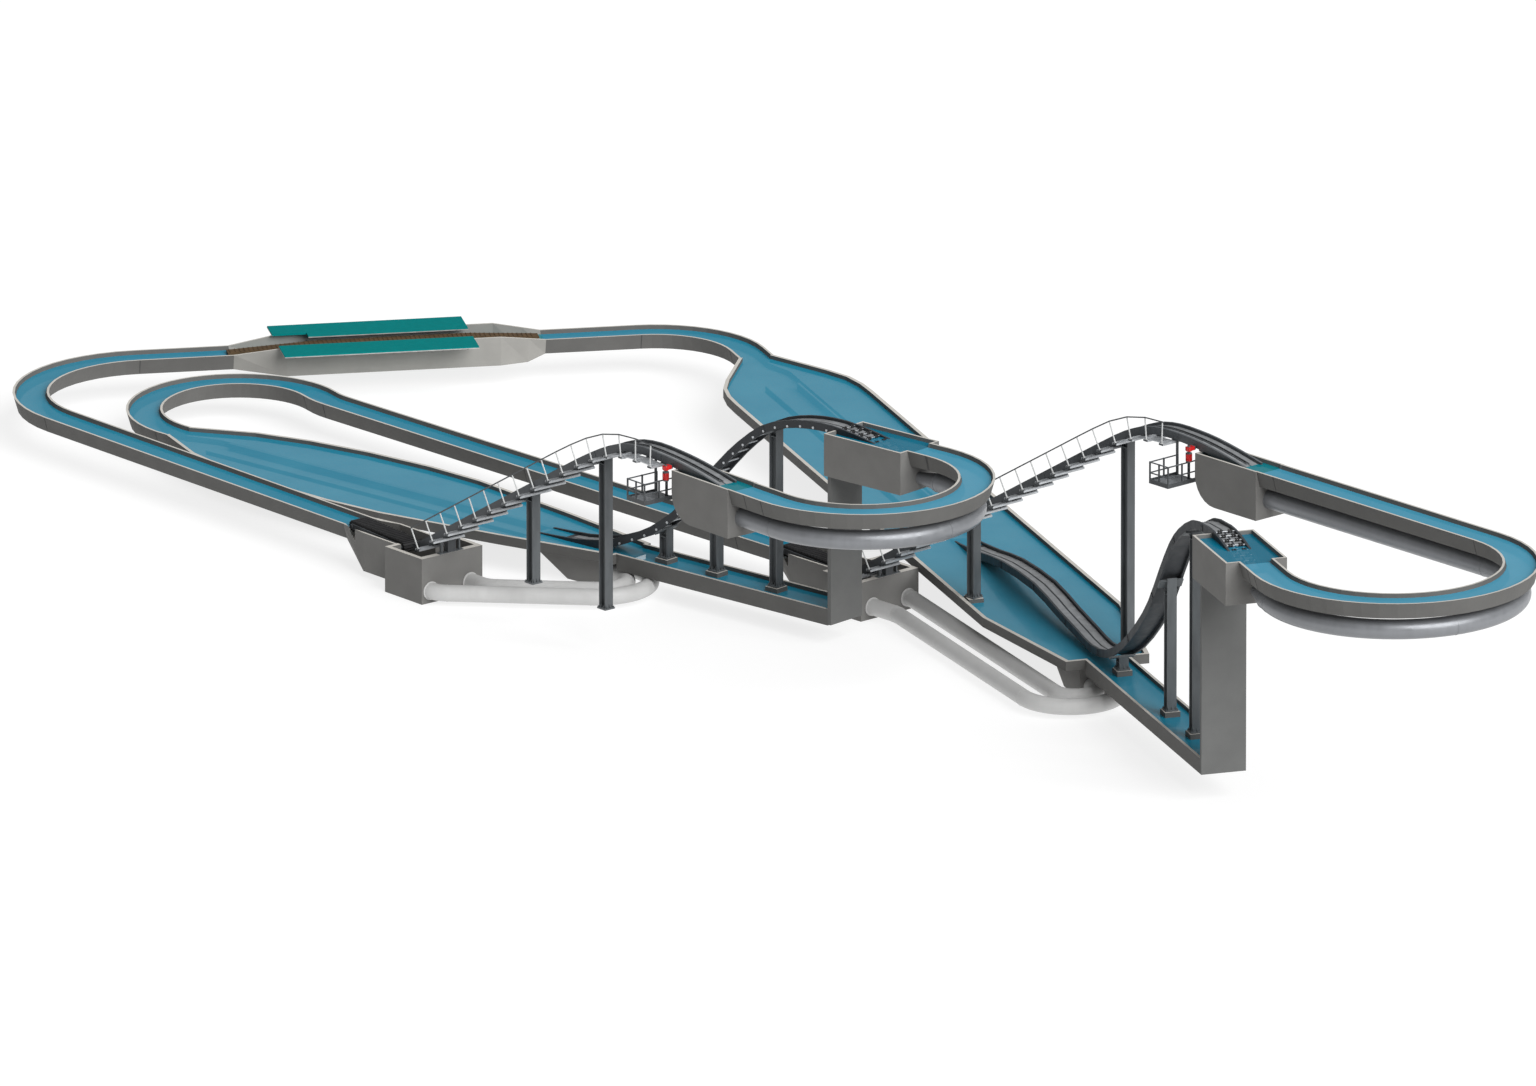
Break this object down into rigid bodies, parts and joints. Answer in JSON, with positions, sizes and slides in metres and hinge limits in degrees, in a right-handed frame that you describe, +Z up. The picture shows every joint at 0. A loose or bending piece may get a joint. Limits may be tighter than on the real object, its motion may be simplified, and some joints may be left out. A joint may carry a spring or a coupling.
{
  "type": "log flume ride, 1:10 scale model",
  "caption": "Log flume ride: station, ground channels, two belt lifts, high channels between tanks, two drops into long pools, pits and pipework.",
  "frame": {"origin": "middle of the model's bounding box at its underside, level with the bottoms of the lift pits, sumps and pool foundations", "axes": "+Z up; +X to the right and +Y away, as in the picture"},
  "size_m": [7.6523, 8.7353, 1.5202],
  "materials": {
    "concrete": "matt grey concrete",
    "frame_steel": "dark grey satin paint",
    "pipe_steel": "satin steel",
    "pale_pipe": "pale grey, matt",
    "platform_teal": "matt teal coating",
    "conveyor_brown": "matt brown belt",
    "belt_black": "matt black ribbed belt",
    "motor_red": "gloss red paint",
    "galvanised": "galvanised"
  },
  "bodies": {
    "root": {"channel_loop": "concrete", "channel_return": "concrete", "channel_to_lift_1": "concrete", "channel_to_lift_2": "concrete", "channel_turn_left": "concrete", "drop_1_column_1": "frame_steel", "drop_1_column_2": "frame_steel", "drop_1_column_3": "frame_steel", "drop_1_track": "frame_steel", "drop_2_column_1": "frame_steel", "drop_2_column_2": "frame_steel", "drop_2_column_3": "frame_steel", "drop_2_track": "frame_steel", "elevated_channel_1": "concrete", "elevated_channel_2": "concrete", "elevated_pipe_1": "pipe_steel", "elevated_pipe_2": "pipe_steel", "lift_1_column_high": "frame_steel", "lift_1_column_low": "frame_steel", "lift_1_handrail": "galvanised", "lift_1_infeed_belt": "belt_black", "lift_1_motor": "motor_red", "lift_1_pit": "concrete", "lift_1_service_platform": "galvanised", "lift_1_track": "frame_steel", "lift_2_column_high": "frame_steel", "lift_2_column_low": "frame_steel", "lift_2_handrail": "galvanised", "lift_2_infeed_belt": "belt_black", "lift_2_motor": "motor_red", "lift_2_pit": "concrete", "lift_2_service_platform": "galvanised", "lift_2_track": "frame_steel", "pool_1": "concrete", "pool_2": "concrete", "splash_basin_1": "concrete", "splash_basin_2": "concrete", "station_conveyor": "conveyor_brown", "station_platform_back": "platform_teal", "station_platform_front": "platform_teal", "station_trough": "concrete", "suction_pipe_1_inner": "pale_pipe", "suction_pipe_1_outer": "pale_pipe", "suction_pipe_2_inner": "pale_pipe", "suction_pipe_2_outer": "pale_pipe", "sump_1": "concrete", "sump_2": "concrete", "tank_1": "concrete", "tank_2": "concrete", "tank_3": "concrete", "tank_4": "concrete", "tower_1": "concrete", "tower_2": "concrete"}
  },
  "joints": []
}
